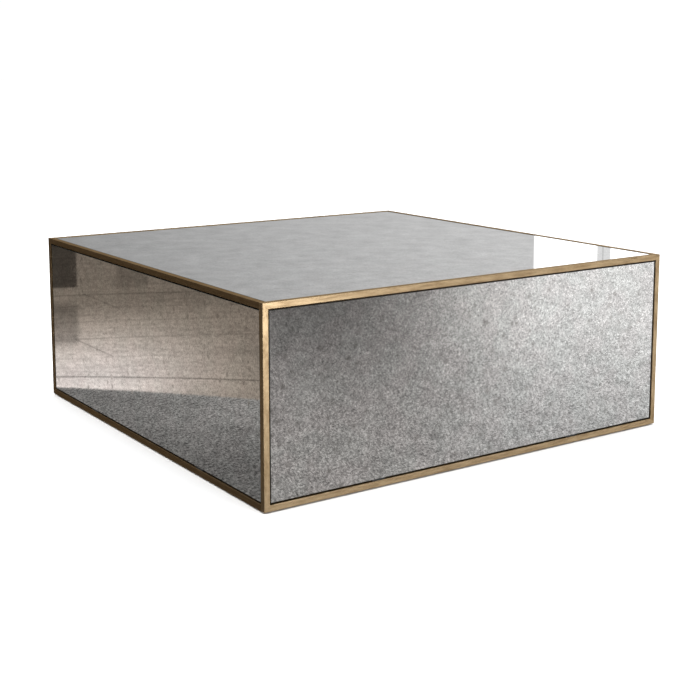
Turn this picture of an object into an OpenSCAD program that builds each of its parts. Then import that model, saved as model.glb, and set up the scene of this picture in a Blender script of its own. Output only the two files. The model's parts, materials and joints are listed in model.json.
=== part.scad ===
// Plinth coffee table in antiqued mirror.
// A mitred cage of square brass tube holds a board carcass. Five mirrors, each bedded on its own
// backing board, fill the cage's openings. Four levellers screw into the base.
// Origin: centre of the footprint on the floor. +Z up, front faces -Y. Millimetres.

/* [Table] */
// Overall width, along X
table_w = 1066.8; // [700:0.1:1600]
// Overall depth, along Y
table_d = 1066.8; // [700:0.1:1600]
// Overall height, floor to the top of the cage
table_h = 406.4; // [300:0.1:600]

/* [Cage] */
// Side of the square tube
bar = 12.7; // [10:0.01:22]
// Wall of the square tube
tube_wall = 1.2; // [0.8:0.01:2.5]
// Gap between the floor and the underside of the cage
foot_gap = 3; // [2:0.1:5]

/* [Mirrors] */
// Thickness of the top glass
top_glass = 6; // [4:0.1:7.4]
// Thickness of the side glass
side_glass = 5; // [3:0.1:6.2]
// How far the top glass lies below the top of the cage
top_recess = 1; // [0.5:0.1:1.5]
// How far each side glass stands behind the face of the cage
side_recess = 2; // [1:0.1:2.5]
// Open joint between a mirror's edge and the tube round it
glass_gap = 3; // [1.5:0.1:4]

/* [Bedding] */
// Thickness of the foam tape and of the mastic between glass and backing
bed_t = 2; // [1:0.1:2.4]
// Width of the foam tape round a mirror's back
tape_w = 10; // [6:0.5:20]
// Distance from a mirror's edge to the foam tape
tape_inset = 2; // [1:0.5:6]
// Diameter of one dab of mastic
dab_d = 46; // [20:1:90]
// Length of one setting block under a side mirror
setting_len = 30; // [15:1:60]

/* [Carcass] */
// Thickness of the deck under the top mirror
deck_t = 18; // [12:0.5:25]
// Thickness of the four side boards
side_t = 16; // [12:0.5:25]
// Thickness of the base board
base_t = 12; // [11:0.5:20]
// Thickness of the two crossed ribs
rib_t = 15; // [9:0.5:25]
// Side of the upright glue blocks in the corners
corner_block = 28; // [15:1:32]
// Side of the blocks that the levellers screw into
foot_block = 70; // [55:1:90]
// Clearance between the carcass and the cage
carcass_fit = 0.3; // [0.1:0.1:0.6]
// Clearance in the halved joint of the ribs
halving_fit = 0.1; // [0.05:0.05:0.5]

/* [Fixings] */
// Diameter of the wood screws
screw_d = 4; // [3:0.1:5]
// Diameter of a wood screw's head
screw_head_d = 8; // [6:0.1:10]
// Length of the wood screws through the deck
deck_screw_len = 45; // [35:1:55]
// Length of the wood screws through the base
base_screw_len = 35; // [25:1:45]
// Length of the screws through the welded lugs
lug_screw_len = 12; // [8:1:13]
// Wood screws along each side
screws_per_side = 4; // [2:1:8]
// Length of a welded lug along its rail
lug_len = 40; // [25:1:80]
// Reach of a welded lug under the base
lug_reach = 24; // [18:1:40]
// Thickness of a welded lug
lug_t = 3; // [2:0.5:5]
// How far a lug's top lies below the top of its rail
lug_drop = 1.2; // [0.5:0.1:3]

/* [Levellers] */
// Diameter of the pad on the floor
pad_d = 38; // [30:1:50]
// Height of the pad
pad_h = 6; // [5.5:0.1:7.4]
// Diameter of the threaded stem
thread_d = 8; // [6:0.5:10]
// Length of the threaded stem above its hexagon
stem_len = 40; // [32:1:60]
// Width across the flats of the hexagon
hex_af = 13; // [13:0.5:17]
// Wall of the threaded insert's barrel
insert_wall = 1.75; // [1:0.05:3]
// Length of the threaded insert's barrel
insert_len = 20; // [14:1:26]
// Diameter of the threaded insert's flange
flange_d = 22; // [17:0.5:30]
// Thickness of the threaded insert's flange
flange_t = 1.5; // [1:0.1:2.5]

/* [Hidden] */
SIDES = ["front", "right", "back", "left"];
CORNERS = ["front_left", "front_right", "back_right", "back_left"];
function named(prefix, ends) = [for (end = ends) str(prefix, end)];

// Clearances that every size shares
hole_fit = 0.05;      // radial play of a screw, an insert or a stem in its hole
eps = 1;              // how far a cutter runs past the face it cuts
round_fn = 48;
small_fn = 24;

// Colours
brass = [0.70, 0.55, 0.35];
mirror_grey = [0.62, 0.61, 0.59];
foam_black = [0.06, 0.06, 0.06];
mastic_grey = [0.45, 0.45, 0.43];
hardboard = [0.42, 0.30, 0.20];
fibreboard = [0.66, 0.55, 0.42];
beech = [0.78, 0.62, 0.44];
painted_black = [0.09, 0.09, 0.09];
zinc = [0.72, 0.73, 0.74];
nylon = [0.12, 0.12, 0.12];

// Heights, from the floor up
cage_h = table_h - foot_gap;
rail_top = foot_gap + bar;
base_z = rail_top - lug_drop;
base_top = base_z + base_t;
deck_top = table_h - bar - carcass_fit;
deck_z = deck_top - deck_t;
flange_z = base_z - flange_t;
stem_top = flange_z + stem_len;

// Carcass, outside and inside
carcass_w = table_w - 2 * (bar + carcass_fit);
carcass_d = table_d - 2 * (bar + carcass_fit);
inner_w = carcass_w - 2 * side_t;
inner_d = carcass_d - 2 * side_t;
carcass_h = deck_z - base_top;
notch_w = rib_t + 2 * halving_fit;
notch_h = carcass_h / 2 + halving_fit + eps;

// Mirrors and what lies behind them
glass_w = table_w - 2 * (bar + glass_gap);
glass_d = table_d - 2 * (bar + glass_gap);
glass_h = cage_h - 2 * (bar + glass_gap);
side_backing_t = bar + carcass_fit - side_recess - side_glass - bed_t;
top_backing_t = bar + carcass_fit - top_recess - top_glass - bed_t;
tape_reach = tape_inset + tape_w;
setting_share = 0.25;        // a setting block stands a quarter of the side from its middle

// Fixings
pilot_r = screw_d / 2 + hole_fit;
head_h = (screw_head_d - screw_d) / 2;
pan_h = 0.32 * screw_head_d;
pan_waist = 0.72;            // a pan head's top circle, as a share of its foot
screw_tip = screw_d;         // length of a wood screw's point
rib_screws = [-0.3, 0.3];    // places along a rib, as shares of its length
lug_places = [-0.28, 0.28];  // places along a rail, as shares of its length
lug_hole_fit = 0.5;

// Levellers
insert_d = thread_d + 2 * insert_wall;
leveller_x = inner_w / 2 - foot_block / 2;
leveller_y = inner_d / 2 - foot_block / 2;
stem_cover = 3;
foot_block_h = stem_top + stem_cover - base_top;
socket_floor = 2;            // solid nylon under the stem's foot
foot_disc_t = 1.5;
foot_disc_d = thread_d + 6;
spigot_d = thread_d + 2;
thread_point = 1.2;          // chamfer at the stem's end
pad_chamfer = 1;

// Length of side i, and how far its outer face is from the middle. Even sides run along X.
function side_len(i) = i % 2 == 0 ? table_w : table_d;
function side_reach(i) = i % 2 == 0 ? table_d / 2 : table_w / 2;
// Places of n pieces spread evenly over a length, with half a step at each end
function spread(n, length) = [for (k = [0:n - 1]) ((k + 0.5) / n - 0.5) * length];

// Puts a side's pieces in place. Local X runs along the side, and local Y from its outer face inwards.
module on_side(i) rotate(90 * i) translate([0, -side_reach(i), 0]) children();

// Mirrors a front left piece into corner i, in the order of CORNERS
module in_corner(i)
    mirror([i == 1 || i == 2 ? 1 : 0, 0, 0])
        mirror([0, i > 1 ? 1 : 0, 0])
            children();

// ---------------------------------------------------------------- cage

// Half-spaces that cut a tube's end to the two mitre planes of a three-way corner
module mitre_cut() {
    reach = 3 * bar;
    rotate([0, -45, 0]) translate([-reach, -reach, -2 * reach]) cube(2 * reach);
    rotate([45, 0, 0]) translate([-reach, -reach, -2 * reach]) cube(2 * reach);
}

// Square tube standing on the cage's outer edge, mitred at both ends
module mitred_tube(length) color(brass)
    difference() {
        cube([bar, bar, length]);
        translate([tube_wall, tube_wall, -eps])
            cube([bar - 2 * tube_wall, bar - 2 * tube_wall, length + 2 * eps]);
        mitre_cut();
        translate([0, 0, length]) mirror([0, 0, 1]) mitre_cut();
    }

module post(i)
    in_corner(i)
        translate([-table_w / 2, -table_d / 2, foot_gap])
            mitred_tube(cage_h);

// Tube laid along side i with its outer corner on the cage's lower edge
module lower_edge(i)
    on_side(i)
        translate([-side_len(i) / 2, 0, foot_gap])
            rotate([90, 0, 90])
                mitred_tube(side_len(i));

module bottom_rail(i) lower_edge(i);

module top_rail(i) translate([0, 0, foot_gap + table_h]) mirror([0, 0, 1]) lower_edge(i);

// Steel tabs welded to the bottom rails, which carry the base
module frame_lugs() color(zinc)
    for (i = [0:3], place = lug_places)
        on_side(i)
            translate([place * side_len(i), bar, base_z - lug_t])
                difference() {
                    translate([-lug_len / 2, 0, 0]) cube([lug_len, lug_reach, lug_t]);
                    translate([0, lug_reach / 2, -eps])
                        cylinder(r = screw_d / 2 + lug_hole_fit, h = lug_t + 2 * eps, $fn = small_fn);
                }

// ---------------------------------------------------------------- fixings

// Countersunk wood screw pointing down, with its head's face at the origin
module wood_screw(length) color(zinc) {
    translate([0, 0, -head_h])
        cylinder(r1 = screw_d / 2, r2 = screw_head_d / 2, h = head_h, $fn = small_fn);
    translate([0, 0, -length + screw_tip])
        cylinder(d = screw_d, h = length - screw_tip - head_h, $fn = small_fn);
    translate([0, 0, -length])
        cylinder(r1 = screw_d / 8, r2 = screw_d / 2, h = screw_tip, $fn = small_fn);
}

// The hole for a wood screw: its countersink and its pilot
module wood_screw_hole(length) {
    translate([0, 0, -head_h])
        cylinder(r1 = pilot_r, r2 = screw_head_d / 2 + hole_fit, h = head_h, $fn = small_fn);
    translate([0, 0, -length - eps])
        cylinder(r = pilot_r, h = length + eps, $fn = small_fn);
    cylinder(r = screw_head_d / 2 + hole_fit, h = eps, $fn = small_fn);
}

// Places of the screws that hold a panel to the side boards, and to the two ribs
module at_board_screws() {
    for (i = [0:3], x = spread(screws_per_side, side_len(i) - 4 * side_t))
        on_side(i) translate([x, bar + carcass_fit + side_t / 2, 0]) children();
    for (share = rib_screws) {
        translate([share * inner_w, 0, 0]) children();
        translate([0, share * inner_d, 0]) children();
    }
}

module at_lug_screws()
    for (i = [0:3], place = lug_places)
        on_side(i) translate([place * side_len(i), bar + lug_reach / 2, base_z]) children();

module deck_screws()
    at_board_screws() translate([0, 0, deck_top]) wood_screw(deck_screw_len);

module base_screws()
    at_board_screws() translate([0, 0, base_z]) mirror([0, 0, 1]) wood_screw(base_screw_len);

// Pan head screws up through the lugs into the base
module lug_screws() color(zinc)
    at_lug_screws() {
        translate([0, 0, -lug_t - pan_h])
            cylinder(d1 = pan_waist * screw_head_d, d2 = screw_head_d, h = pan_h, $fn = small_fn);
        translate([0, 0, -lug_t]) cylinder(d = screw_d, h = lug_screw_len, $fn = small_fn);
    }

// ---------------------------------------------------------------- carcass

module deck_board() color(fibreboard)
    difference() {
        translate([-carcass_w / 2, -carcass_d / 2, deck_z]) cube([carcass_w, carcass_d, deck_t]);
        at_board_screws() translate([0, 0, deck_top]) wood_screw_hole(deck_screw_len);
    }

module base_board() color(painted_black)
    difference() {
        translate([-carcass_w / 2, -carcass_d / 2, base_z]) cube([carcass_w, carcass_d, base_t]);
        at_board_screws()
            translate([0, 0, base_z]) mirror([0, 0, 1]) wood_screw_hole(base_screw_len);
        at_lug_screws()
            translate([0, 0, -eps])
                cylinder(r = pilot_r, h = lug_screw_len - lug_t + 2 * eps, $fn = small_fn);
        at_levellers() insert_hole();
    }

// Front and back boards run the full width. The left and right boards stand between them.
module side_board(i) color(fibreboard) {
    length = i % 2 == 0 ? carcass_w : inner_d;
    difference() {
        on_side(i)
            translate([-length / 2, bar + carcass_fit, base_top]) cube([length, side_t, carcass_h]);
        panel_screw_pilots();
    }
}

// Pilots that the deck's and the base's screws leave in the boards they enter
module panel_screw_pilots()
    at_board_screws() {
        translate([0, 0, deck_top]) wood_screw_hole(deck_screw_len);
        translate([0, 0, base_z]) mirror([0, 0, 1]) wood_screw_hole(base_screw_len);
    }

// Rib with the notch of its halved joint at the middle, open at the top or at the bottom
module rib(length, open_top) color(fibreboard)
    difference() {
        translate([-length / 2, -rib_t / 2, base_top]) cube([length, rib_t, carcass_h]);
        translate([-notch_w / 2, -rib_t, open_top ? deck_z + eps - notch_h : base_top - eps])
            cube([notch_w, 2 * rib_t, notch_h]);
        children();
    }

module rib_long() rib(inner_w, true) panel_screw_pilots();

module rib_cross() rotate(90) rib(inner_d, false) rotate(-90) panel_screw_pilots();

module corner_blocks() color(beech)
    for (i = [0:3])
        in_corner(i)
            translate([-inner_w / 2, -inner_d / 2, base_top + foot_block_h])
                cube([corner_block, corner_block, deck_z - base_top - foot_block_h]);

module foot_blocks() color(beech)
    for (i = [0:3])
        difference() {
            in_corner(i)
                translate([-inner_w / 2, -inner_d / 2, base_top])
                    cube([foot_block, foot_block, foot_block_h]);
            at_leveller(i) {
                insert_hole();
                translate([0, 0, flange_z])
                    cylinder(r = thread_d / 2 + 4 * hole_fit, h = stem_len + stem_cover / 2, $fn = round_fn);
            }
        }

// ---------------------------------------------------------------- mirrors and their bedding

// Flat slab of a side's opening, from depth y, inset from the glass's edge
module side_slab(i, y, thickness, inset = 0)
    on_side(i)
        translate([-side_len(i) / 2 + bar + glass_gap + inset, y, rail_top + glass_gap + inset])
            cube([side_len(i) - 2 * (bar + glass_gap + inset), thickness, glass_h - 2 * inset]);

// Flat slab of the top opening, from height z, inset from the glass's edge
module top_slab(z, thickness, inset = 0)
    translate([-glass_w / 2 + inset, -glass_d / 2 + inset, z])
        cube([glass_w - 2 * inset, glass_d - 2 * inset, thickness]);

top_glass_z = table_h - top_recess - top_glass;
side_bed_y = side_recess + side_glass;

module mirror_side(i) color(mirror_grey) side_slab(i, side_recess, side_glass);

module mirror_top() color(mirror_grey) top_slab(top_glass_z, top_glass);

// Black foam tape round the back of a mirror, seen as the dark line in its open joint
module edge_tape_side(i) color(foam_black)
    difference() {
        side_slab(i, side_bed_y, bed_t, tape_inset);
        side_slab(i, side_bed_y - eps, bed_t + 2 * eps, tape_reach);
    }

module edge_tape_top() color(foam_black)
    difference() {
        top_slab(top_glass_z - bed_t, bed_t, tape_inset);
        top_slab(top_glass_z - bed_t - eps, bed_t + 2 * eps, tape_reach);
    }

// Dabs of mastic between glass and backing
module mastic_side(i) color(mastic_grey)
    for (x = spread(5, side_len(i) - 2 * (bar + glass_gap + tape_reach)),
         z = spread(2, glass_h - 2 * tape_reach))
        on_side(i)
            translate([x, side_bed_y + bed_t, foot_gap + cage_h / 2 + z])
                rotate([90, 0, 0]) cylinder(d = dab_d, h = bed_t, $fn = round_fn);

module mastic_top() color(mastic_grey)
    for (x = spread(5, glass_w - 2 * tape_reach), y = spread(5, glass_d - 2 * tape_reach))
        translate([x, y, top_glass_z - bed_t]) cylinder(d = dab_d, h = bed_t, $fn = round_fn);

module backing_side(i) color(hardboard) side_slab(i, side_bed_y + bed_t, side_backing_t);

module backing_top() color(hardboard) top_slab(deck_top, top_backing_t);

// Rubber blocks that the side mirrors stand on
module setting_blocks() color(foam_black)
    for (i = [0:3], end = [-1, 1])
        on_side(i)
            translate([end * setting_share * side_len(i) - setting_len / 2, side_recess, rail_top])
                cube([setting_len, side_glass, glass_gap]);

// ---------------------------------------------------------------- levellers

module at_leveller(i) in_corner(i) translate([-leveller_x, -leveller_y, 0]) children();

module at_levellers() for (i = [0:3]) at_leveller(i) children();

// Hole for the insert's barrel, from the base's underside up
module insert_hole()
    translate([0, 0, base_z - eps])
        cylinder(r = insert_d / 2 + hole_fit, h = insert_len + eps + hole_fit, $fn = round_fn);

// Flanged brass inserts pressed up into the base and the foot blocks
module threaded_inserts() color(brass)
    at_levellers()
        difference() {
            union() {
                translate([0, 0, flange_z]) cylinder(d = flange_d, h = flange_t, $fn = round_fn);
                translate([0, 0, base_z]) cylinder(d = insert_d, h = insert_len, $fn = round_fn);
            }
            translate([0, 0, flange_z - eps])
                cylinder(r = thread_d / 2 + hole_fit, h = insert_len + flange_t + 2 * eps, $fn = round_fn);
        }

// Stem: foot disc held in the pad, spigot, hexagon for a spanner, thread with a chamfered end
module leveller_stem(i) color(zinc)
    at_leveller(i) {
        translate([0, 0, socket_floor + hole_fit])
            cylinder(d = foot_disc_d, h = foot_disc_t, $fn = round_fn);
        translate([0, 0, socket_floor + hole_fit])
            cylinder(d = spigot_d, h = pad_h - socket_floor - hole_fit, $fn = round_fn);
        translate([0, 0, pad_h])
            cylinder(d = hex_af / cos(30), h = flange_z - hole_fit - pad_h, $fn = 6);
        translate([0, 0, pad_h])
            cylinder(d = thread_d, h = stem_top - thread_point - pad_h, $fn = round_fn);
        translate([0, 0, stem_top - thread_point])
            cylinder(d1 = thread_d, d2 = thread_d - 2 * thread_point, h = thread_point, $fn = round_fn);
    }

// Nylon pad, chamfered at the floor, with the socket that holds the stem's foot disc
module leveller_pad(i) color(nylon)
    at_leveller(i)
        difference() {
            union() {
                cylinder(d1 = pad_d - 2 * pad_chamfer, d2 = pad_d, h = pad_chamfer, $fn = round_fn);
                translate([0, 0, pad_chamfer])
                    cylinder(d = pad_d, h = pad_h - pad_chamfer - hole_fit, $fn = round_fn);
            }
            translate([0, 0, socket_floor])
                cylinder(r = foot_disc_d / 2 + hole_fit, h = foot_disc_t + 2 * hole_fit, $fn = round_fn);
            translate([0, 0, socket_floor])
                cylinder(r = spigot_d / 2 + hole_fit, h = pad_h, $fn = round_fn);
        }

// ---------------------------------------------------------------- nodes

for (i = [0:3]) {
    post(i);
    top_rail(i);
    bottom_rail(i);
    mirror_side(i);
    edge_tape_side(i);
    mastic_side(i);
    backing_side(i);
    side_board(i);
    leveller_stem(i);
    leveller_pad(i);
}
frame_lugs();
lug_screws();
mirror_top();
edge_tape_top();
mastic_top();
backing_top();
setting_blocks();
deck_board();
base_board();
rib_long();
rib_cross();
corner_blocks();
foot_blocks();
deck_screws();
base_screws();
threaded_inserts();
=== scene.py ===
"""Mirrored plinth coffee table with its finishes, a plain studio and the camera.

Metres, +Z up, and the front faces -Y.
"""
import json
import math

import bpy
import numpy as np
from mathutils import Euler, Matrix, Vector


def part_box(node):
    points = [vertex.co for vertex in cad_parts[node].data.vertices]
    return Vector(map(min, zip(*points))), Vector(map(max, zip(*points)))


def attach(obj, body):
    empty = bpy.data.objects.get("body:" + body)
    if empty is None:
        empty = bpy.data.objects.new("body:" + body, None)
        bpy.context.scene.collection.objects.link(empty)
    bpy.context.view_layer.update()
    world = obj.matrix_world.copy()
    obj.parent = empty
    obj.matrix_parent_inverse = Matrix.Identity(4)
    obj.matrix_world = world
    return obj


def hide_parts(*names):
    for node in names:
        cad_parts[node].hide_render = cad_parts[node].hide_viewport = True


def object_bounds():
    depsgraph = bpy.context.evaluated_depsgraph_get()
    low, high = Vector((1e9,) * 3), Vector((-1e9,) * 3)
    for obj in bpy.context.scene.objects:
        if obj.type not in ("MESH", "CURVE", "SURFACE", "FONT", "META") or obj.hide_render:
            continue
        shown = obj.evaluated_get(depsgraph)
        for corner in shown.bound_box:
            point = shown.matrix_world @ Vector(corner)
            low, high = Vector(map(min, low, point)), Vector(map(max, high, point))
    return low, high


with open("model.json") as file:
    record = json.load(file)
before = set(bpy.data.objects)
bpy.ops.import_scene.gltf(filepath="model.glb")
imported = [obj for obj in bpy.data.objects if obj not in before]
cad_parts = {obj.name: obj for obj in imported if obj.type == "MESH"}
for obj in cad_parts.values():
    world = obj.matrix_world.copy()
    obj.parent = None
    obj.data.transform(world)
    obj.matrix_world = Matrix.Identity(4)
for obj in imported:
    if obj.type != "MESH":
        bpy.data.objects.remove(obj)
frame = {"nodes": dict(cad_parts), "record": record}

cad_low, cad_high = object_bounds()

CORNERS = ("front_left", "front_right", "back_right", "back_left")
MM = 0.001

# ------------------------------------------------------------------ sizes, from the frame

post_low, post_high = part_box("post_front_left")
table_w = cad_high.x - cad_low.x
table_d = cad_high.y - cad_low.y
table_top = post_high.z
cage_base = post_low.z
bar = post_high.x - post_low.x

edge_round = 0.7 * MM      # rounding along the tubes' edges
arris = 0.8 * MM           # flat ground along the glass's edges


# ------------------------------------------------------------------ surfaces

def mesh_piece(name, points, faces, uv=None, normals=None):
    """A mesh object at the origin.

    points is (n, 3), faces holds each face's point numbers, and uv and normals have one row per point.
    """
    mesh = bpy.data.meshes.new(name)
    mesh.from_pydata(points.tolist(), [], [list(map(int, face)) for face in faces])
    mesh.validate()
    if uv is not None:
        corner_points = np.zeros(len(mesh.loops), dtype=np.int64)
        mesh.loops.foreach_get("vertex_index", corner_points)
        layer = mesh.uv_layers.new(name="along_and_round")
        layer.data.foreach_set("uv", uv[corner_points].astype(np.float32).ravel())
    if normals is not None:
        mesh.polygons.foreach_set("use_smooth", np.ones(len(mesh.polygons), dtype=bool))
        mesh.normals_split_custom_set_from_vertices(normals.tolist())
    mesh.update()
    piece = bpy.data.objects.new(name, mesh)
    bpy.context.scene.collection.objects.link(piece)
    return piece


def grid_faces(rows, columns, closed=True):
    """Quads of a grid of points whose columns run round the piece, joined up when closed."""
    row = np.arange(rows - 1)[:, None]
    column = np.arange(columns if closed else columns - 1)[None, :]
    after = (column + 1) % columns
    here, above = row * columns, (row + 1) * columns
    corners = np.broadcast_arrays(here + column, here + after, above + after, above + column)
    return np.stack(corners, axis=-1).reshape(-1, 4)


def fans(rows, columns):
    """Triangles that close both ends of a grid, whose tips are the two points after the grid's own."""
    ring = np.arange(columns)
    after = (ring + 1) % columns
    last = (rows - 1) * columns
    first_tip, last_tip = rows * columns, rows * columns + 1
    first_fan = np.stack([after, ring, np.full(columns, first_tip)], axis=-1)
    last_fan = np.stack([last + ring, last + after, np.full(columns, last_tip)], axis=-1)
    return np.vstack([first_fan, last_fan])


def rounded_square(side, radius, steps=5):
    """Points, outward normals and girth of a square with round corners, anticlockwise from corner (0, 0).

    Corner k's arc is centre + radius (cos t, sin t) for t from 180 + 90 k to 270 + 90 k degrees.
    Girth counts sides, so it is k on the middle of corner k's arc and k + 1/2 halfway along the side
    after it.
    """
    turn = np.linspace(0, 1, steps)
    corner = np.arange(4)[:, None]
    angle = np.pi + (corner + turn) * np.pi / 2
    centres = radius + (side - 2 * radius) * np.array([[0, 0], [1, 0], [1, 1], [0, 1]])
    normals = np.stack([np.cos(angle), np.sin(angle)], axis=-1)
    points = centres[:, None, :] + radius * normals
    girth = corner + (turn - 0.5) * 2 * radius / side
    return points.reshape(-1, 2), normals.reshape(-1, 2), girth.ravel()


def mitred_bar(node, start, along, first, second, serial):
    """A square tube from a corner of the cage to the next, with rounded edges and mitred ends.

    The rounded square (a, b) is carried along the bar. A point's path runs from max(a, b) to
    length - max(a, b), where the two mitre planes cut it. start is the cage's corner, and a and b run
    inwards from it.
    """
    low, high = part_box(node)
    length = max(high - low)
    profile, flat_normals, girth = rounded_square(bar, edge_round)
    along, first, second = (np.array(v, float) for v in (along, first, second))
    inset = profile.max(axis=1)
    stations = 9
    share = np.linspace(0, 1, stations)[:, None]
    reach = inset + share * (length - 2 * inset)
    across = profile[:, :1] * first + profile[:, 1:] * second
    points = np.array(start) + across[None] + reach[..., None] * along
    normals = np.broadcast_to(flat_normals[:, :1] * first + flat_normals[:, 1:] * second, points.shape)
    uv = np.stack([reach + serial, np.broadcast_to(girth, reach.shape)], axis=-1)
    ends = np.array(start) + (first + second) * bar / 2 + np.outer([bar / 2, length - bar / 2], along)
    faces = grid_faces(*reach.shape).tolist() + fans(*reach.shape).tolist()
    if np.dot(np.cross(first, second), along) < 0:
        faces = [face[::-1] for face in faces]
    all_points = np.vstack([points.reshape(-1, 3), ends])
    all_normals = np.vstack([normals.reshape(-1, 3), -along, along])
    all_uv = np.vstack([uv.reshape(-1, 2), [[serial, 0.5], [serial + length, 0.5]]])
    piece = mesh_piece(node + "_tube", all_points, faces, all_uv, all_normals)
    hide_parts(node)
    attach(piece, "table")
    return piece


def make_cage():
    """The twelve tubes. Each starts at a corner of the cage, and its section runs inwards from there."""
    x, y, z = np.eye(3)
    half_w, half_d = table_w / 2, table_d / 2
    corner_at = dict(zip(CORNERS, ((-1, -1), (1, -1), (1, 1), (-1, 1))))
    bars = []
    for name, (sx, sy) in corner_at.items():
        foot = (sx * half_w, sy * half_d, cage_base)
        bars.append(mitred_bar("post_" + name, foot, z, -sx * x, -sy * y, len(bars)))
    side_at = {"front": (-1, -1, x, y), "right": (1, -1, y, -x),
               "back": (-1, 1, x, -y), "left": (-1, -1, y, x)}
    for level, height, inward in (("top", table_top, -z), ("bottom", cage_base, z)):
        for name, (sx, sy, along, into) in side_at.items():
            start = (sx * half_w, sy * half_d, height)
            bars.append(mitred_bar(level + "_rail_" + name, start, along, into, inward, len(bars)))
    return bars


def arrised_glass(node, normal_axis):
    """A pane with a narrow flat ground along its edges, and the numbers of the faces on its edge.

    It is four rings of the pane's rectangle. The first and last are drawn in by the flat's width.
    """
    low, high = (np.array(v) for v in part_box(node))
    thickness = high[normal_axis] - low[normal_axis]
    u_axis, v_axis = [axis for axis in range(3) if axis != normal_axis]
    inset = np.array([arris, 0, 0, arris])
    depth = np.array([0, arris, thickness - arris, thickness])
    u_low, u_high = low[u_axis] + inset, high[u_axis] - inset
    v_low, v_high = low[v_axis] + inset, high[v_axis] - inset
    points = np.zeros((4, 4, 3))
    points[..., u_axis] = np.stack([u_low, u_high, u_high, u_low], axis=-1)
    points[..., v_axis] = np.stack([v_low, v_low, v_high, v_high], axis=-1)
    points[..., normal_axis] = (low[normal_axis] + depth)[:, None]
    faces = grid_faces(4, 4).tolist() + [[3, 2, 1, 0], [12, 13, 14, 15]]
    if normal_axis == 1:
        faces = [face[::-1] for face in faces]
    piece = mesh_piece(node + "_pane", points.reshape(-1, 3), faces)
    edge_faces = [face.index for face in piece.data.polygons if abs(face.normal[normal_axis]) < 0.9]
    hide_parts(node)
    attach(piece, "table")
    return piece, edge_faces


# ------------------------------------------------------------------ levellers and screws

def turned_points(radius, height):
    """Points of a piece turned about the Z axis, (rows, columns, 3).

    Row r, column c lies at angle 2 pi c / columns, radius[r, c] from the axis and height[r, c] up.
    """
    radius, height = np.broadcast_arrays(radius, height)
    turn = turns(radius.shape[1])
    return np.stack([radius * np.cos(turn), radius * np.sin(turn), height], axis=-1)


def turns(columns):
    """The angles of a turned piece's columns, in radians."""
    return np.arange(columns) * 2 * np.pi / columns


def turned_piece(name, points, places, node, body):
    """One mesh of the same turned piece at each place, closed at both ends by a point on the axis."""
    rows, columns = points.shape[:2]
    poles = points[[0, -1]].mean(axis=1)
    one = np.vstack([points.reshape(-1, 3), poles])
    places = np.asarray(places, float)
    everywhere = (places[:, None, :] + one).reshape(-1, 3)
    shift = np.arange(len(places))[:, None, None] * len(one)
    quads = (grid_faces(rows, columns) + shift).reshape(-1, 4).tolist()
    ends = (fans(rows, columns) + shift).reshape(-1, 3).tolist()
    piece = mesh_piece(name, everywhere, quads + ends)
    piece.data.polygons.foreach_set("use_smooth", np.ones(len(piece.data.polygons), dtype=bool))
    piece.data.set_sharp_from_angle(angle=math.radians(35))
    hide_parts(node)
    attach(piece, body)
    return piece


def ridge(height, columns, pitch, depth):
    """How far a thread's surface lies below its crest: a triangle wave that climbs a pitch a turn."""
    phase = height[:, None] / pitch - turns(columns) / (2 * np.pi)
    return depth * np.abs(2 * (phase - np.floor(phase)) - 1)


def leveller_stem(corner):
    """Foot disc, spigot, hexagon with chamfered corners, and a thread that runs out at a chamfered end.

    The hexagon's radius is half its width over the cosine of the angle from the nearest flat, and no more
    than a cone that cuts its corners off at both ends.
    """
    node = "leveller_stem_" + corner
    low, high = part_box(node)
    foot, top = low.z, high.z
    pad_top, collar = 6.0 * MM, 12.95 * MM
    thread_r, disc_r, spigot_r, hexagon_r = 4.0 * MM, 7.0 * MM, 5.0 * MM, 6.5 * MM
    point_r, run_out, thread_depth = 0.4 * MM, 1.2 * MM, 0.55 * MM
    columns, pitch = 48, 1.25 * MM
    disc_top = foot + 1.5 * MM
    disc = turned_points(np.array([0.3, 1, 1, 1])[:, None] * np.full((4, columns), disc_r),
                         np.array([foot, foot, foot + 1.1 * MM, disc_top])[:, None])
    spigot = turned_points(np.full((2, columns), spigot_r), np.array([disc_top, pad_top])[:, None])
    rise = np.array([0.0, 0.02, 0.10, 0.5, 0.90, 0.98, 1.0])
    from_flat = (turns(columns) + np.pi / 6) % (np.pi / 3) - np.pi / 6
    corner_cut = hexagon_r * (1.02 + 1.3 * np.minimum(rise, 1 - rise))
    hexagon = turned_points(np.minimum(hexagon_r / np.cos(from_flat), corner_cut[:, None]),
                            (pad_top + rise * (collar - pad_top))[:, None])
    height = np.arange(collar, top, pitch / 8)
    crest = thread_r - np.maximum(height - (top - run_out), 0)
    thread = turned_points(crest[:, None] - ridge(height, columns, pitch, thread_depth), height[:, None])
    end_r = np.array([[thread_r - run_out], [point_r]])
    end = turned_points(end_r * np.ones(columns), np.full((2, 1), top))
    points = np.concatenate([disc, spigot, hexagon, thread, end])
    place = ((low.x + high.x) / 2, (low.y + high.y) / 2, 0.0)
    return turned_piece(node + "_thread", points, [place], node, "stem_" + corner)


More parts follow.
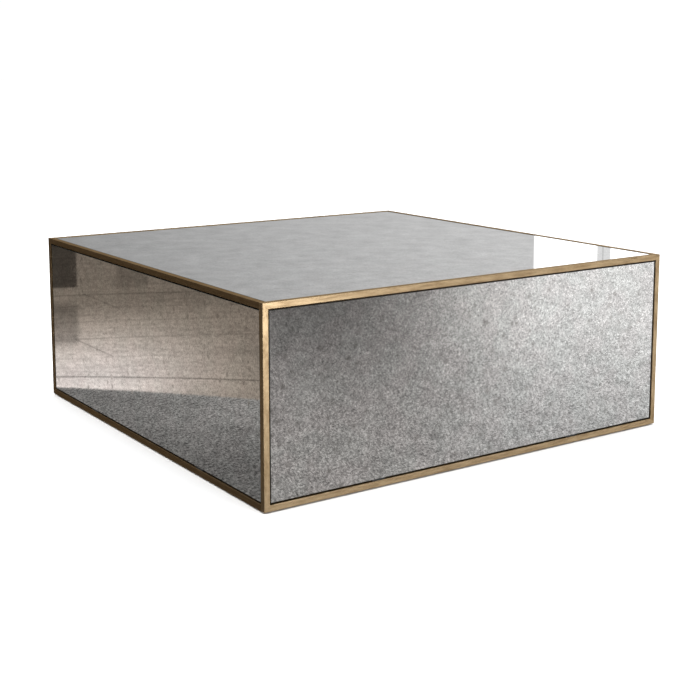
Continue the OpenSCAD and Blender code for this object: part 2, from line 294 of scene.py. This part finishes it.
def leveller_pad(corner):
    """Moulded pad: chamfered foot, ribbed rim, domed top and the socket round the stem's foot disc.

    The rim's radius dips between the ribs by a raised cosine of 36 waves round the pad.
    """
    node = "leveller_pad_" + corner
    low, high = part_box(node)
    rim_r = (high.x - low.x) / 2
    columns, ribs, rib_depth = 216, 36, 0.45 * MM
    foot = [(3.0, 0.0), (15.5, 0.0), (16.0, 0.5), (17.2, 0.5), (17.7, 0.0), (18.0, 0.0)]
    rim = [(18.8, 0.9), (19.0, 1.2), (19.0, 4.3), (18.6, 4.9)]
    dome = [(17.6, 5.1), (14.0, 5.3), (13.6, 5.6), (9.5, 5.9), (5.4, 5.95)]
    socket = [(5.05, 5.7), (5.05, 3.6), (7.05, 3.6), (7.05, 2.0), (1.0, 2.0)]
    profile = np.array(foot + rim + dome + socket) * np.array([rim_r / 19.0, high.z / 5.95])
    ribbed = ((profile[:, 0] > 0.985 * rim_r) & (profile[:, 1] > 1.0 * MM)).astype(float)
    dip = rib_depth * (0.5 - 0.5 * np.cos(ribs * turns(columns)))
    points = turned_points(profile[:, :1] - ribbed[:, None] * dip, profile[:, 1:])
    place = ((low.x + high.x) / 2, (low.y + high.y) / 2, 0.0)
    return turned_piece(node + "_moulding", points, [place], node, "pad_" + corner)


def cross_recess(share, columns, reach, depth):
    """Depth of a cross recess at each share of a head's radius: deep on four arms that taper outwards."""
    turn = turns(columns)
    across = np.minimum(np.abs(np.sin(turn)), np.abs(np.cos(turn))) * share[:, None]
    arm = np.clip((0.16 - across) / 0.05, 0, 1)
    return depth * arm * np.clip((reach - share[:, None]) / (0.35 * reach), 0, 1)


def pan_head_screw(head_r, head_h, shank_r, length):
    """Screw pointing up from z = 0, its head downwards.

    Its domed face rises by the square of the share of its radius and holds a cross recess. The shank
    has a coarse thread, and narrows to a point over its last diameter.
    """
    columns, pitch, dome = 32, 1.8 * MM, 2.2 * MM
    share = np.array([0.02, 0.08, 0.14, 0.2, 0.26, 0.32, 0.4, 0.5, 0.6, 0.75, 0.9, 1.0])
    face = turned_points((share * head_r)[:, None] * np.ones(columns),
                         (dome * share ** 2)[:, None] + cross_recess(share, columns, 0.62, 1.6 * MM))
    seat = head_h + 0.05 * MM
    under = turned_points(np.array([[head_r], [shank_r]]) * np.ones(columns),
                          np.array([[seat], [seat + 0.3 * MM]]))
    height = np.arange(seat + 0.6 * MM, length, pitch / 7)
    taper = np.clip((length - height) / (2 * shank_r), 0.05, 1)[:, None]
    thread_depth = ridge(height, columns, pitch, 0.22 * shank_r)
    thread = turned_points((shank_r - thread_depth) * taper, height[:, None])
    return np.concatenate([face, under, thread])


def lug_screws():
    """Two pan head screws on each side, up through the lugs into the base."""
    low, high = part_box("lug_screws")
    inset, off_middle = bar + 12.0 * MM, 0.28
    x, y = off_middle * table_w, off_middle * table_d
    row_x, row_y = table_w / 2 - inset, table_d / 2 - inset
    places = [(side * x, end * row_y, low.z) for side in (-1, 1) for end in (-1, 1)]
    places += [(end * row_x, side * y, low.z) for side in (-1, 1) for end in (-1, 1)]
    points = pan_head_screw(4.0 * MM, 2.56 * MM, 2.0 * MM, high.z - low.z)
    return turned_piece("lug_screws_pan_head", points, places, "lug_screws", "table")


# ------------------------------------------------------------------ finishes: how they are written

class Value:
    """A node's output. Arithmetic on it adds Math nodes."""

    def __init__(self, recipe, socket):
        self.recipe, self.socket = recipe, socket

    def math(self, operation, *others):
        sockets = dict(enumerate((self,) + others))
        return self.recipe.add("ShaderNodeMath", {"operation": operation}, sockets)

    def __add__(self, other):
        return self.math("ADD", other)

    def __sub__(self, other):
        return self.math("SUBTRACT", other)

    def __rsub__(self, other):
        return (self * -1).math("ADD", other)

    def __mul__(self, other):
        return self.math("MULTIPLY", other)

    def __truediv__(self, other):
        return self.math("DIVIDE", other)

    __radd__ = __add__
    __rmul__ = __mul__


class Recipe:
    """A node tree being written, with the few steps that the finishes share."""

    def __init__(self, tree):
        self.tree = tree
        tree.nodes.clear()

    def add(self, kind, settings=None, sockets=None, out=0):
        """Adds a node: its settings first, then the values or links of its sockets.

        out is the number or the name of the output that is wanted.
        """
        node = self.tree.nodes.new(kind)
        for key, value in (settings or {}).items():
            setattr(node, key, value)
        for key, value in (sockets or {}).items():
            if isinstance(value, Value):
                self.tree.links.new(value.socket, node.inputs[key])
            else:
                node.inputs[key].default_value = value
        return Value(self, node.outputs[out])

    def split(self, vector):
        """The three numbers of a vector."""
        first = self.add("ShaderNodeSeparateXYZ", None, {0: vector})
        return [Value(self, output) for output in first.socket.node.outputs]

    def join(self, x, y, z):
        """A vector of three numbers."""
        return self.add("ShaderNodeCombineXYZ", None, {0: x, 1: y, 2: z})

    def noise(self, place, scale, detail=2.0, roughness=0.5):
        """Smooth noise from 0 to 1, centred on a half, in features of about 1 / scale metres."""
        sockets = {"Vector": place, "Scale": scale, "Detail": detail, "Roughness": roughness}
        return self.add("ShaderNodeTexNoise", None, sockets)

    def cells(self, place, scale):
        """Distance to the nearest of scattered points, in cells."""
        return self.add("ShaderNodeTexVoronoi", None, {"Vector": place, "Scale": scale})

    def fade(self, value, low, high, to_low=0.0, to_high=1.0):
        """Smooth step of value from low to high."""
        sockets = {"Value": value, "From Min": low, "From Max": high, "To Min": to_low, "To Max": to_high}
        return self.add("ShaderNodeMapRange", {"interpolation_type": "SMOOTHSTEP"}, sockets)

    def blend(self, share, first, second):
        """Colour from first to second. A Mix node's colours are its sockets 6 and 7 and output 2."""
        return self.add("ShaderNodeMix", {"data_type": "RGBA"}, {0: share, 6: first, 7: second}, out=2)

    def between(self, value, low, high, soft):
        """1 where value lies between low and high, with soft edges."""
        return self.fade(value, low - soft, low + soft) * self.fade(value, high + soft, high - soft)

    def line(self, value, place, width):
        """1 on a thin line where value is place, fading out over the width on both sides."""
        return self.fade((value - place).math("ABSOLUTE"), width, 0.0)

    def tone(self, level, tint):
        """The tint, as bright as level."""
        return self.add("ShaderNodeVectorMath", {"operation": "SCALE"}, {0: tint, "Scale": level})


def grey(level):
    return (level, level, level, 1.0)


def colour(red, green, blue):
    return (red, green, blue, 1.0)


def finish(name, write, **fixed):
    """A material, of what write(recipe) says varies over the surface and the shader's fixed values.

    A height in metres among the varying values goes through a Bump node to the normal.
    """
    material = bpy.data.materials.new(name)
    material.use_nodes = True
    recipe = Recipe(material.node_tree)
    varied = write(recipe)
    height = varied.pop("height", None)
    if height is not None:
        bump = {"Strength": 1.0, "Distance": 1.0, "Height": height}
        varied["Normal"] = recipe.add("ShaderNodeBump", None, bump)
    shader = recipe.add("ShaderNodeBsdfPrincipled", None, {**fixed, **varied})
    output = material.node_tree.nodes.new("ShaderNodeOutputMaterial")
    material.node_tree.links.new(shader.socket, output.inputs["Surface"])
    return material


def object_place(recipe):
    return recipe.add("ShaderNodeTexCoord", out="Object")


# ------------------------------------------------------------------ finishes of the table

def antique_brass():
    """Brass tube, brushed along its length, under a cloudy brown patina, with painted shade that darkens
    the bars along the left side.
    """
    def write(recipe):
        run, girth, _ = recipe.split(recipe.add("ShaderNodeTexCoord", out="UV"))
        across = girth * bar
        brushed = recipe.noise(recipe.join(run * 14, across * 3200, girth.math("FLOOR")), 1.0, 3.0, 0.6)
        clouds = recipe.noise(recipe.join(run * 0.7, across * 1.6, 0.0), 26.0, 4.0, 0.6)
        blots = recipe.noise(recipe.join(run, across, 3.0), 150.0, 3.0, 0.65)
        from_edge = girth.math("PINGPONG", 0.5) * (bar / MM)
        rubbed = recipe.fade(from_edge, 1.1, 0.2)
        x, y, _ = recipe.split(object_place(recipe))
        # Painted shade: the bars along the left side, all but the front left post, are darkened as if
        # turned away from the light.
        left_painted_shade = recipe.fade(x, 15 * MM - table_w / 2, 13 * MM - table_w / 2)
        left_painted_shade *= recipe.fade(y, 11 * MM - table_d / 2, 14 * MM - table_d / 2)
        mottled = recipe.fade(clouds * 0.7 + blots * 0.3, 0.36, 0.68)
        patina_and_painted_shade = mottled * (1 - left_painted_shade * 0.35) + left_painted_shade * 0.75
        patina_and_shade_tone = recipe.blend(patina_and_painted_shade * 0.9, colour(0.55, 0.41, 0.245), colour(0.30, 0.20, 0.105))
        streaked = recipe.blend(recipe.fade(brushed, 0.25, 0.75) * 0.14, patina_and_shade_tone, colour(0.66, 0.51, 0.32))
        body = recipe.blend(rubbed * 0.10, streaked, colour(0.72, 0.57, 0.36))
        roughness = 0.40 + patina_and_painted_shade * 0.08 + brushed * 0.08 - rubbed * 0.05
        height = brushed * 0.000004 + blots * 0.00001
        return {"Base Color": body, "Roughness": roughness, "height": height}
    return finish("antique_brass", write, **{"Metallic": 1.0, "Specular Tint": colour(0.62, 0.52, 0.40)})


def antiqued_mirror():
    """Silvering aged behind glass: cloudy and grainy, with soft brown-black blots where it has lifted."""
    def write(recipe):
        place = object_place(recipe)
        clouds = recipe.noise(place, 6.0, 4.0, 0.6)
        mottle = recipe.noise(place, 42.0, 4.0, 0.7)
        grain = recipe.noise(place, 240.0, 3.0, 0.75)
        fine = recipe.noise(place, 620.0, 2.0, 0.6)
        blots = recipe.fade(recipe.cells(place, 36.0) + (grain - 0.5) * 0.25, 0.31, 0.05)
        specks = recipe.fade(recipe.cells(place, 75.0) + (fine - 0.5) * 0.2, 0.26, 0.04)
        lifted = (blots * 0.46 + specks * 0.38) * recipe.fade(clouds, 0.36, 0.60, 0.45, 1.0)
        speckle = (grain - 0.5) * 1.10 + (fine - 0.5) * 1.05 + (mottle - 0.5) * 0.42
        bright = 0.61 + (clouds - 0.5) * 0.16 + speckle
        stains = recipe.fade(recipe.noise(place, 15.0, 3.0, 0.5), 0.38, 0.62)
        tinted = recipe.blend(stains, colour(0.985, 0.963, 0.952), colour(0.962, 0.977, 0.958))
        silver = recipe.blend(bright, colour(0.02, 0.018, 0.015), tinted)
        body = recipe.blend(lifted, silver, colour(0.09, 0.08, 0.065))
        roughness = 0.016 + lifted * 0.2
        return {"Base Color": body, "Roughness": roughness, "height": clouds * 0.00002}
    return finish("antiqued_mirror", write,
                  **{"Metallic": 1.0, "Coat Weight": 1.0, "Coat Roughness": 0.01, "Coat IOR": 1.52})


def ground_glass_edge():
    """The pane's ground edge, coloured near-black as painted shade for the dark reveal between the glass
    and the brass, with fine matt scratches.
    """
    def write(recipe):
        scratches = recipe.noise(object_place(recipe), 900.0, 2.0, 0.6)
        # Painted shade: the edge and its arris are near-black to stand for the shade in the gap round the
        # pane.
        painted = recipe.blend(scratches, colour(0.010, 0.012, 0.011), colour(0.045, 0.052, 0.048))
        return {"Base Color": painted, "Roughness": 0.3 + scratches * 0.25}
    return finish("ground_glass_edge", write, **{"IOR": 1.52})


def black_foam():
    def write(recipe):
        cells = recipe.cells(object_place(recipe), 1600.0)
        body = recipe.blend(cells, grey(0.012), grey(0.05))
        return {"Base Color": body, "Roughness": 0.85 + cells * 0.1, "height": cells * 0.0001}
    return finish("black_foam", write)


def painted_black_board():
    def write(recipe):
        place = object_place(recipe)
        orange_peel = recipe.noise(place, 420.0, 2.0, 0.5)
        scuffs = recipe.noise(place, 11.0, 5.0, 0.7)
        body = recipe.blend(recipe.fade(scuffs, 0.5, 0.8), grey(0.022), grey(0.055))
        return {"Base Color": body, "Roughness": 0.55 + scuffs * 0.25, "height": orange_peel * 0.00006}
    return finish("painted_black_board", write)


def raw_fibreboard():
    def write(recipe):
        place = object_place(recipe)
        fibres = recipe.noise(place, 700.0, 3.0, 0.7)
        tone = recipe.noise(place, 20.0, 3.0, 0.6)
        base = recipe.blend(tone, colour(0.40, 0.28, 0.17), colour(0.55, 0.41, 0.27))
        body = recipe.blend(fibres * 0.5, base, colour(0.28, 0.18, 0.10))
        return {"Base Color": body, "Roughness": 0.7 + fibres * 0.2, "height": fibres * 0.00003}
    return finish("raw_fibreboard", write)


def hardboard():
    def write(recipe):
        fibres = recipe.noise(object_place(recipe), 520.0, 4.0, 0.75)
        body = recipe.blend(fibres, colour(0.10, 0.055, 0.03), colour(0.24, 0.14, 0.08))
        return {"Base Color": body, "Roughness": 0.4 + fibres * 0.3}
    return finish("hardboard", write)


def planed_beech():
    def write(recipe):
        x, y, z = recipe.split(object_place(recipe))
        grain = recipe.noise(recipe.join(x * 6, y * 6, z * 0.6), 30.0, 4.0, 0.6)
        flecks = recipe.noise(recipe.join(x * 5, y * 5, z), 260.0, 2.0, 0.5)
        base = recipe.blend(grain, colour(0.46, 0.29, 0.16), colour(0.66, 0.47, 0.29))
        body = recipe.blend(recipe.fade(flecks, 0.62, 0.75) * 0.5, base, colour(0.33, 0.19, 0.10))
        return {"Base Color": body, "Roughness": 0.5 + grain * 0.15}
    return finish("planed_beech", write)


def zinc_plate():
    def write(recipe):
        stain = recipe.noise(object_place(recipe), 160.0, 4.0, 0.6)
        body = recipe.blend(stain, colour(0.50, 0.50, 0.52), colour(0.74, 0.75, 0.78))
        return {"Base Color": body, "Roughness": 0.28 + stain * 0.2}
    return finish("zinc_plate", write, Metallic=1.0)


def turned_brass():
    def write(recipe):
        _, _, z = recipe.split(object_place(recipe))
        rings = recipe.noise(recipe.join(0.0, 0.0, z), 5200.0, 1.0, 0.5)
        body = recipe.blend(rings, colour(0.62, 0.45, 0.20), colour(0.80, 0.62, 0.33))
        return {"Base Color": body, "Roughness": 0.2 + rings * 0.15}
    return finish("turned_brass", write, Metallic=1.0)


def black_nylon():
    def write(recipe):
        pits = recipe.noise(object_place(recipe), 1500.0, 2.0, 0.6)
        body = recipe.blend(pits, grey(0.016), grey(0.04))
        return {"Base Color": body, "Roughness": 0.45 + pits * 0.2, "height": pits * 0.00003}
    return finish("black_nylon", write)


def cured_mastic():
    def write(recipe):
        lumps = recipe.noise(object_place(recipe), 180.0, 3.0, 0.6)
        body = recipe.blend(lumps, grey(0.22), grey(0.34))
        return {"Base Color": body, "Roughness": 0.6 + lumps * 0.2, "height": lumps * 0.0002}
    return finish("cured_mastic", write)


def dress_frame_nodes(finish_of):
    """Gives every CAD node that stays its finish, by its material slot in the record."""
    for entry in frame["record"]["subparts"]:
        if entry["material_slot"] in finish_of:
            for slot in frame["nodes"][entry["node"]].material_slots:
                slot.material = finish_of[entry["material_slot"]]


# ------------------------------------------------------------------ studio
# Bearings are in degrees from +Y towards +X, and slopes in degrees above the level at the table.

BRIGHT_SIDE = 100.0                      # bearing of the wall beside the window
DIM_SIDE = -80.0                         # the wall that faces it
LIT_RUG = 170.0                          # the rug in front, where the window lights it
BOARDED_SIDE = -38.0                     # the boarded wall
WALL_MIDDLE = -21.0                      # where its boards don't lean
LAMP_BEARINGS = (160.0, 80.0, -130.0)    # left of the front, at the right, and behind the left
LAMP_LEVEL = 13.0
BOARD_JOINTS = ((-10.25, 0.35), (-10.85, 0.14), (-11.45, 0.16), (-12.2, 0.24), (-13.05, 0.12))
BOARD_RAILS = ((-22.3, -10.2, 0.45, 0.3), (-21.9, -12.2, 0.5, 0.45))


def pale_floor():
    """A large plain floor, seen directly but not in the mirrors, which show the rug and the walls."""
    def write(recipe):
        clouds = recipe.noise(object_place(recipe), 3.0, 3.0, 0.5)
        return {"Base Color": recipe.blend(clouds, grey(0.86), grey(0.88))}

    reach = 62.0
    points = reach * np.array([[-1, -1, 0], [1, -1, 0], [1, 1, 0], [-1, 1, 0]])
    floor = mesh_piece("studio_floor", points, [[0, 1, 2, 3]])
    floor.data.materials.append(finish("pale_floor", write, Roughness=0.9))
    floor.visible_glossy = False


def white_backdrop():
    """A plain white drum round the floor, which isn't in the mirrors either and lights nothing."""
    columns, radius = 64, 58.0
    points = turned_points(np.full((2, columns), radius), np.array([[-1.0], [40.0]]))
    inward = grid_faces(2, columns)[:, ::-1]
    drum = mesh_piece("studio_backdrop", points.reshape(-1, 3), inward)
    glowing = {"Base Color": grey(0.0), "Emission Color": grey(1.0), "Emission Strength": 1.0}
    drum.data.materials.append(finish("white_backdrop", lambda recipe: {}, **glowing))
    drum.visible_glossy = False
    drum.visible_diffuse = False
    drum.visible_shadow = False


def facing(bearing, centre):
    """Cosine of the angle between a bearing and the centre of a part of the room, both in degrees."""
    return ((bearing - centre) * math.radians(1)).math("COSINE")


def light_above(recipe, bearing, slope):
    """Above eye level: dim at the left, growing towards the window at the right, and a pale ceiling."""
    dim = recipe.fade(slope, 11.5, 19.0, 0.03, 0.34)
    window_side = (facing(bearing, BRIGHT_SIDE) * 0.87 + 0.17).math("MAXIMUM", dim)
    window = recipe.between(bearing, 42.84, 62.0, 0.06) * recipe.between(slope, 3.0, 13.5, 1.0)
    mullion = recipe.between(bearing, 45.62, 46.24, 0.05)
    groove = recipe.line(bearing, 45.89, 0.05)
    brushwork = recipe.noise(recipe.join(bearing * 0.9, slope * 8.0, 0.0), 1.0, 3.0, 0.6)
    walls = recipe.tone(window_side * (0.70 + brushwork * 0.6), (1.0, 1.0, 1.0))
    lit = recipe.blend(window, walls, grey(2.0))
    barred = recipe.blend(window * (mullion * 0.75 + groove * 0.15), lit, grey(0.40))
    return recipe.blend(recipe.fade(slope, 20.0, 45.0), barred, grey(0.72))


def rug_pile(recipe, place):
    """Looped wool on the floor, its rows along Y, in true perspective.

    A level floor's point is the direction divided by how far it falls.
    """
    x, y, z = recipe.split(place)
    fall = (z * -1).math("MAXIMUM", 0.03)
    on_floor = recipe.join(x / fall, y * 0.42 / fall, 0.0)
    loops = recipe.noise(on_floor, 215.0, 1.5, 0.6)
    rows = recipe.noise(recipe.join(x / fall * 34, y / fall * 9, 0.0), 1.0, 2.0, 0.6)
    waves = recipe.noise(on_floor, 12.0, 5.0, 0.7)
    return 0.28 + recipe.fade(loops, 0.36, 0.64) * 1.44 + (rows - 0.5) * 0.85 + (waves - 0.5) * 0.60


def rug_in_front(recipe, bearing, slope, pile):
    """The rug before the table: shaded at the left, and lit from the right, most where it is far off."""
    dim_side = recipe.fade(facing(bearing, DIM_SIDE), 0.7, 0.0, 0.12, 1.0)
    lit = recipe.fade(facing(bearing, LIT_RUG), 0.92, 0.82) * dim_side
    far = recipe.fade(slope, -17.5, -9.5)
    level = recipe.fade(slope, -32.0, -21.0, 0.16, 0.44) - far * 0.26 + lit * (0.17 + far * 0.80)
    tint = recipe.blend(lit, colour(1.0, 0.96, 0.935), colour(0.985, 0.98, 0.975))
    level *= recipe.fade(facing(bearing, DIM_SIDE), 0.1, 0.9, 1.0, 0.55)
    level *= recipe.between(bearing, 75.0, 127.0, 4.0) * 0.5 + 1
    return recipe.tone(level * pile, tint)


def boarded_wall(recipe, bearing, slope):
    """Dim boards with a lamp's glow low down, a dark doorway, a plinth, a cupboard and the joints' lines.

    A joint has its slope and darkness, and a rail its end's bearing and slope, its rise and darkness.
    """
    leaning = slope + (bearing - WALL_MIDDLE) * recipe.fade(slope, -10.5, -14.0) * -0.055
    glow = (recipe.fade(slope, -10.0, -14.2) * recipe.fade(bearing, -31.0, -22.5, 0.13, 0.74)
            * recipe.fade(bearing, -13.0, -20.5, 0.15, 1.0))
    boards = recipe.noise(recipe.join(bearing * 0.12, leaning * 1.45, 0.0), 1.0, 0.0, 0.5)
    knots = recipe.noise(recipe.join(bearing * 0.8, leaning * 5.0, 0.0), 1.0, 4.0, 0.65)
    streaks = recipe.noise(recipe.join(bearing * 0.5, leaning * 11.0, 4.0), 1.0, 3.0, 0.65)
    pores = recipe.noise(recipe.join(bearing * 5.0, leaning * 9.0, 8.0), 1.0, 2.0, 0.65)
    wood = (boards - 0.5) * 0.35 + (knots - 0.5) * 0.34 + (streaks - 0.5) * 0.50 + (pores - 0.5) + 1
    far_side = recipe.fade(bearing, -48.0, -33.0, 0.30, 1.0)
    level = (recipe.fade(slope, -6.5, -8.5, 0.12, 0.225) + glow) * far_side * wood
    doorway = recipe.fade(bearing, -22.08, -22.0) * recipe.fade(slope, -9.95, -9.85)
    plinth = recipe.fade(bearing, -22.2, -21.9) * recipe.between(slope, -12.4, -10.6, 0.25)
    cupboard = recipe.between(bearing, -25.2, -23.8, 0.12) * recipe.fade(slope, -10.1, -9.95)
    shaded = level * (1 - doorway * 0.72) * (1 - plinth * 0.42) * (1 - cupboard * 0.25)
    joints = recipe.line(leaning, -13.8, 0.06) * 0.55
    line_width, rail_length = 0.05, 1.6
    for joint_slope, darkness in BOARD_JOINTS:
        joints += recipe.line(slope, joint_slope, line_width) * darkness
    for end, end_slope, rise, darkness in BOARD_RAILS:
        rail = recipe.line(slope - (bearing - end) * rise, end_slope, line_width)
        joints += rail * recipe.between(bearing, end - rail_length, end, line_width) * darkness
    warm = recipe.blend(glow * 1.2, colour(1.0, 0.83, 0.67), colour(1.0, 0.915, 0.885))
    return recipe.tone(shaded * (1 - joints), warm)


def behind_left(recipe, place, bearing, slope, pile):
    """What the left side faces: the boarded wall down to the ragged edge of the rug, then the rug."""
    ragged = recipe.noise(place, 900.0, 2.0, 0.6) * 0.16 - 0.08
    edge = slope + (bearing - WALL_MIDDLE) * -0.1 + ragged
    lit = recipe.fade(bearing, -22.0, -30.5, 0.24, 0.35)
    edge_shade = recipe.fade(slope, -18.5, -15.3, 0.55, 1.0) * recipe.fade(slope, -25.0, -20.5, 0.2, 1.0)
    rug = recipe.tone(lit * edge_shade * pile, (1.0, 0.97, 0.94))
    return recipe.blend(recipe.fade(edge, -14.2, -14.3), boarded_wall(recipe, bearing, slope), rug)


def lamps_round(recipe, bearing, slope):
    """Share of the soft lamps, which stand at eye level."""
    shares = [recipe.fade(facing(bearing, lamp), 0.97, 1.0) * 0.6 for lamp in LAMP_BEARINGS]
    return sum(shares) * recipe.between(slope, -5.2, 1.5, 3.0)


def studio_room():
    """The room all round, laid out by bearing and slope, which only the mirrors and the brass show."""
    world = bpy.data.worlds.new("studio")
    bpy.context.scene.world = world
    world.use_nodes = True
    recipe = Recipe(world.node_tree)
    place = recipe.add("ShaderNodeTexCoord", out="Generated")
    x, y, z = recipe.split(place)
    bearing = x.math("ARCTAN2", y) * math.degrees(1)
    slope = z.math("ARCSINE") * math.degrees(1)
    pile = rug_pile(recipe, place)
    front = rug_in_front(recipe, bearing, slope, pile)
    behind = behind_left(recipe, place, bearing, slope, pile)
    lower = recipe.blend(recipe.fade(facing(bearing, BOARDED_SIDE), 0.5, 0.8), front, behind)
    upper = light_above(recipe, bearing, slope)
    all_round = recipe.blend(recipe.fade(slope, -3.0, 3.0), lower, upper)
    lit = recipe.blend(lamps_round(recipe, bearing, slope), all_round, grey(LAMP_LEVEL))
    background = recipe.add("ShaderNodeBackground", None, {"Color": lit, "Strength": 1.0})
    output = world.node_tree.nodes.new("ShaderNodeOutputWorld")
    world.node_tree.links.new(background.socket, output.inputs["Surface"])


def round_lamp(name, place, target, size, watts):
    """A round lamp that the camera doesn't see."""
    lamp = bpy.data.lights.new(name, "AREA")
    lamp.shape = "DISK"
    lamp.size = size
    lamp.energy = watts
    holder = bpy.data.objects.new(name, lamp)
    holder.location = place
    holder.rotation_euler = (Vector(target) - Vector(place)).to_track_quat("-Z", "Y").to_euler()
    holder.visible_camera = False
    bpy.context.scene.collection.objects.link(holder)


def overhead_light(strength):
    """Soft even light from straight above, which the mirrors and the brass don't show."""
    lamp = bpy.data.lights.new("overhead_light", "SUN")
    lamp.energy = strength
    lamp.angle = math.radians(80)
    holder = bpy.data.objects.new("overhead_light", lamp)
    holder.visible_glossy = False
    bpy.context.scene.collection.objects.link(holder)


def set_camera(place, pitch, yaw):
    """Off the front left corner, with a little shift so that the uprights stay nearly upright.

    pitch is in degrees above the level, and yaw in degrees round from +Y towards -X.
    """
    lens = bpy.data.cameras.new("camera")
    lens.lens = 64.88
    lens.sensor_width = 36.0
    lens.shift_y = -0.15
    lens.clip_end = 300.0
    camera = bpy.data.objects.new("camera", lens)
    camera.location = place
    camera.rotation_euler = Euler((math.radians(90 + pitch), 0.0, math.radians(yaw)))
    bpy.context.scene.collection.objects.link(camera)
    bpy.context.scene.camera = camera


# ------------------------------------------------------------------ the table

brass = antique_brass()
for tube in make_cage():
    tube.data.materials.append(brass)

silvering, ground_edge = antiqued_mirror(), ground_glass_edge()
for side, axis in (("top", 2), ("front", 1), ("right", 0), ("back", 1), ("left", 0)):
    pane, edge_faces = arrised_glass("mirror_" + side, axis)
    pane.data.materials.append(silvering)
    pane.data.materials.append(ground_edge)
    for number in edge_faces:
        pane.data.polygons[number].material_index = 1

zinc, foam = zinc_plate(), black_foam()
dress_frame_nodes({
    "zinc_steel": zinc, "foam_tape": foam, "rubber_block": foam, "mastic": cured_mastic(),
    "hardboard": hardboard(), "fibreboard": raw_fibreboard(), "black_board": painted_black_board(),
    "beech": planed_beech(), "insert_brass": turned_brass()})
nylon = black_nylon()
for corner in CORNERS:
    leveller_stem(corner).data.materials.append(zinc)
    leveller_pad(corner).data.materials.append(nylon)
lug_screws().data.materials.append(zinc)

pale_floor()
white_backdrop()
studio_room()
round_lamp("front_lamp", place=(-0.20, -1.40, 0.30), target=(-0.53, -0.53, 0.36), size=0.2, watts=2.1)
overhead_light(strength=4.2)
set_camera(place=(-1.693, -2.511, 0.845), pitch=-8.21, yaw=-34.43)
bpy.context.scene.view_settings.view_transform = "Standard"
